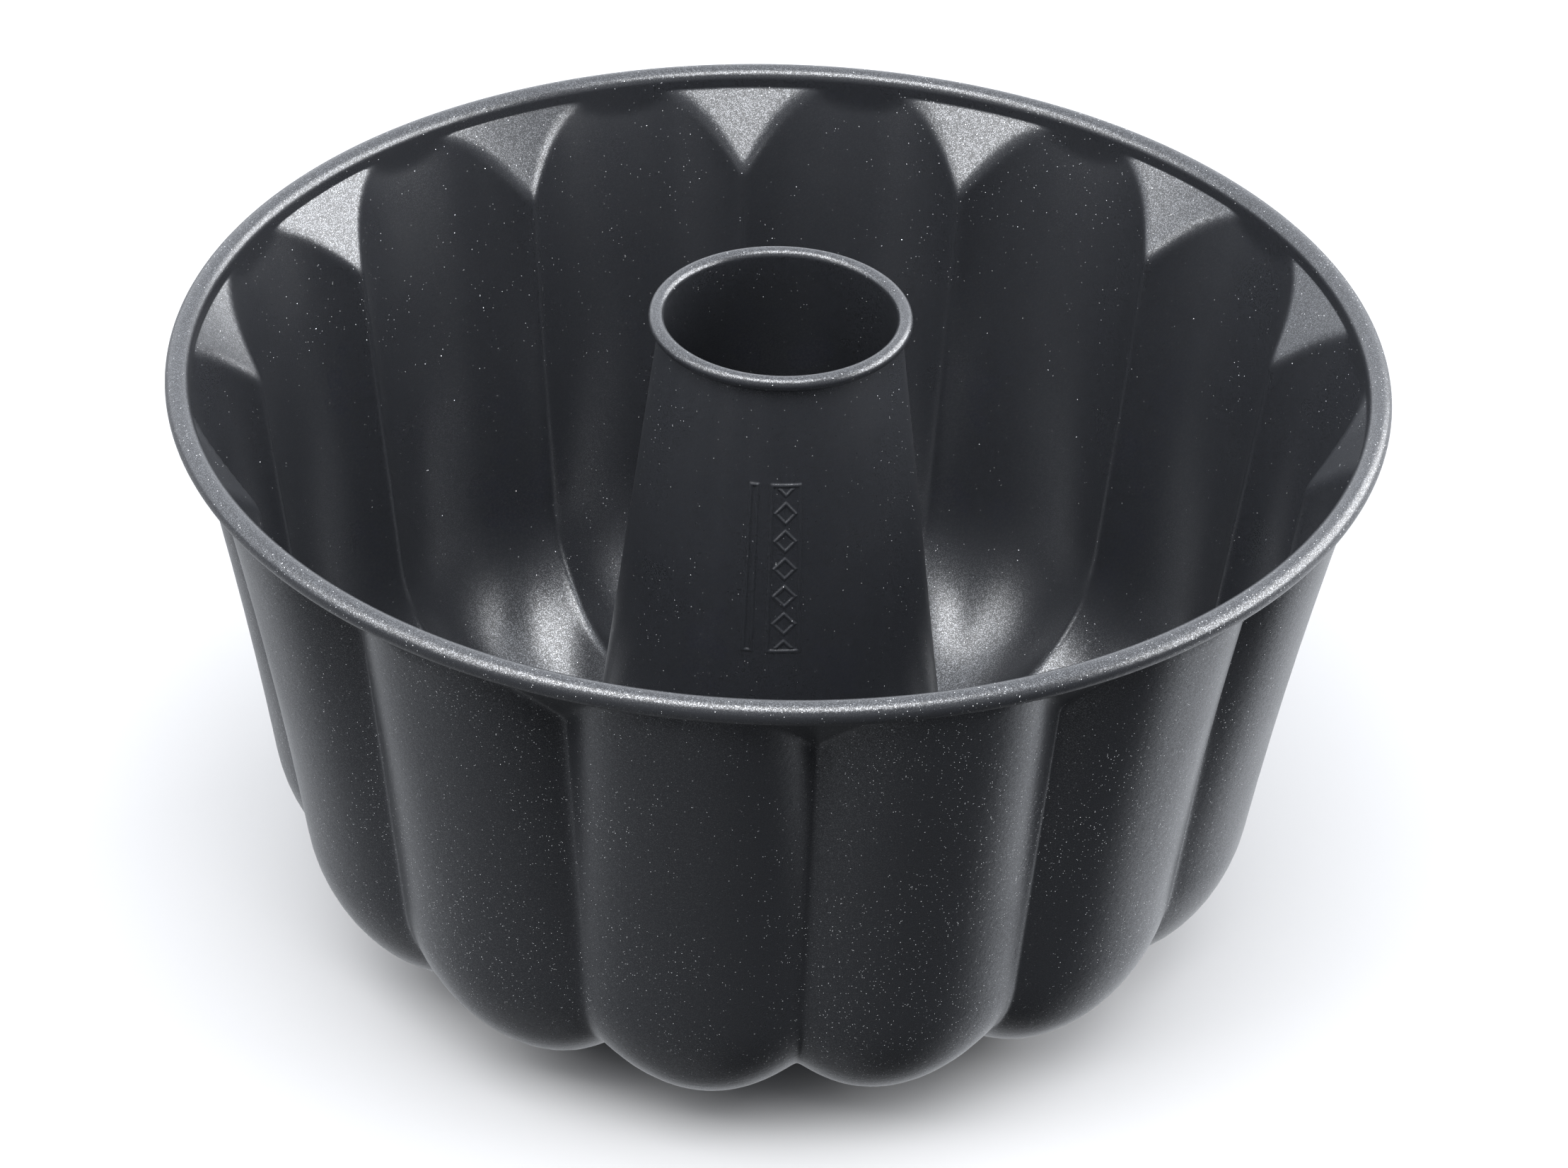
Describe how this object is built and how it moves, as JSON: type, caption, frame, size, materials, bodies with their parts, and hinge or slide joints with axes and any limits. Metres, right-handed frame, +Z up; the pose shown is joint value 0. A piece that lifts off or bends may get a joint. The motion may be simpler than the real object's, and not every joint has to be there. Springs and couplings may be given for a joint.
{
  "type": "fluted bundt pan",
  "caption": "Round fluted baking pan with a rolled rim and a conical tube rising through its centre, for baking ring-shaped cakes.",
  "frame": {"origin": "on the pan's axis, in the plane of the pads it stands on", "axes": "+Z up along the centre tube, towards the rim; +X through the middle of one lobe; -Y through a crease between two lobes"},
  "size_m": [0.22, 0.22, 0.1257],
  "materials": {
    "coated_sheet": "semi-gloss dark grey non-stick coating with fine bright metal flecks",
    "rim_wire_steel": "drawn steel wire"
  },
  "bodies": {
    "root": {"fluted_shell": "coated_sheet", "center_tube": "coated_sheet", "rim_wire": "rim_wire_steel"}
  },
  "joints": []
}
